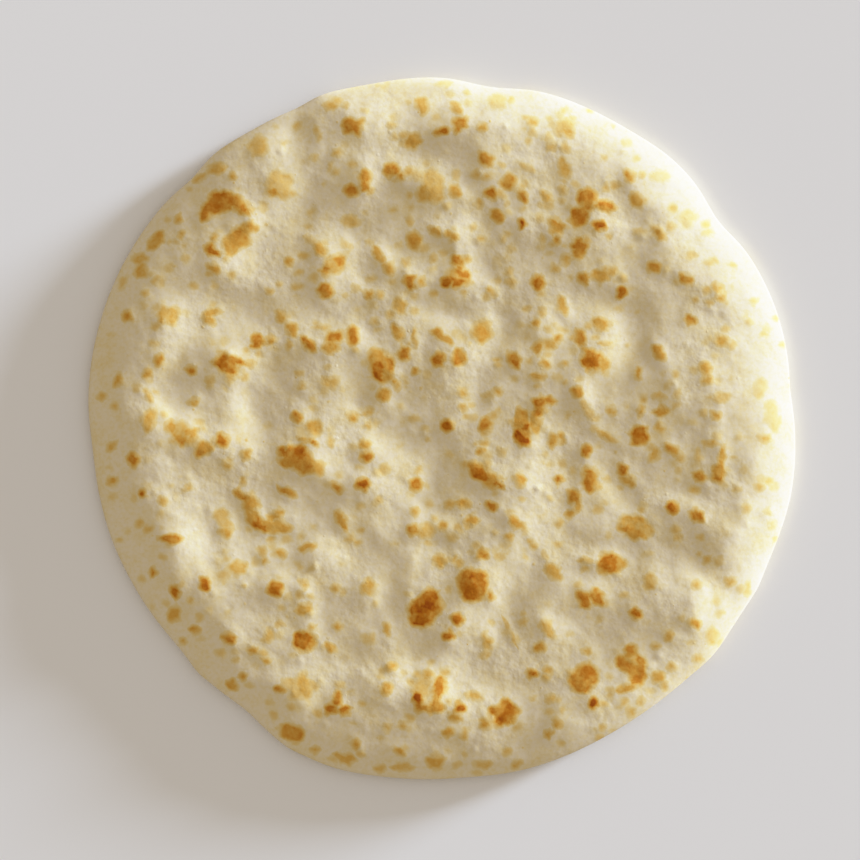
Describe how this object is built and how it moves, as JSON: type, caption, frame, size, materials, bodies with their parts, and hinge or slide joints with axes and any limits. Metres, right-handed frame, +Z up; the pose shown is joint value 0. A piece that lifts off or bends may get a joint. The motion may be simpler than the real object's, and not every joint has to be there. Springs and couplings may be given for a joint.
{
  "type": "lavash flatbread",
  "caption": "Round soft flatbread with a rounded rim, a dimpled and bubbled top and scattered brown griddle marks, lying flat",
  "frame": {"origin": "On the surface that the bread lies on, under the middle of its outline", "axes": "+Z is up, out of the top side. Seen from above, +X points to the side where the dough was pressed thinner and +Y is the picture's up."},
  "size_m": [0.2412, 0.2396, 0.01],
  "materials": {
    "baked_dough": "matte"
  },
  "bodies": {
    "root": {"lavash": "baked_dough"}
  },
  "joints": []
}
